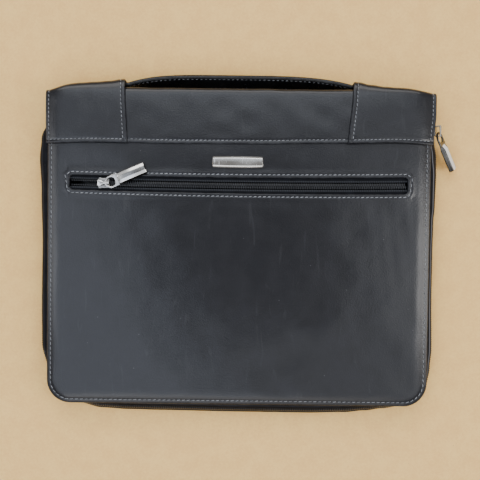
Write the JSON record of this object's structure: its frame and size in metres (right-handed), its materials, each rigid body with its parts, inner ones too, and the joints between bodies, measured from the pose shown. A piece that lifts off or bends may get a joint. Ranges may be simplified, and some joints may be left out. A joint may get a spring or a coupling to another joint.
{
  "type": "zip-around laptop bag",
  "caption": "Flat zip-around leather laptop and document case with a spine band, corner patches, strap handle, front zip pocket and long metal pulls.",
  "frame": {"origin": "on the back cover's flat outer face, midway across the case and midway up the covers", "axes": "+X along the spine to the main slider's side, +Y from the bottom edge to the spine, +Z from the back cover to the front cover"},
  "size_m": [0.3949, 0.3159, 0.0369],
  "materials": {
    "leather": "smooth charcoal leather, soft satin",
    "strap_leather": "black leather strap, satin",
    "zip_cloth": "woven black tape, matt",
    "zip_teeth": "black nylon coil, satin",
    "polished_metal": "polished nickel"
  },
  "bodies": {
    "case": {"front_cover": "leather", "back_cover": "leather", "spine_band": "leather", "left_patch": "leather", "right_patch": "leather", "handle": "strap_leather", "plaque": "polished_metal", "pocket_zip_tape_upper": "zip_cloth", "pocket_zip_tape_lower": "zip_cloth", "pocket_zip_chain": "zip_teeth", "pocket_zip_parted_upper": "zip_teeth", "pocket_zip_parted_lower": "zip_teeth", "pocket_slider": "polished_metal", "main_zip_tape_front": "zip_cloth", "main_zip_tape_back": "zip_cloth", "main_zip_chain": "zip_teeth", "main_slider": "polished_metal"},
    "pocket_pull": {"pocket_pull": "polished_metal"},
    "main_pull": {"main_pull": "polished_metal"}
  },
  "joints": [
    {"name": "pocket_pull_flip", "type": "hinge", "parent": "case", "child": "pocket_pull", "pos_m": [-0.1216, 0.05634, 0.03215], "axis": [0.3923, -0.9198, 0], "range_deg": [0, 95]},
    {"name": "main_pull_flip", "type": "hinge", "parent": "case", "child": "main_pull", "pos_m": [0.18522, 0.10819, 0.01874], "axis": [-0.5047, -0.5522, 0.6636], "range_deg": [-12, 75]}
  ]
}
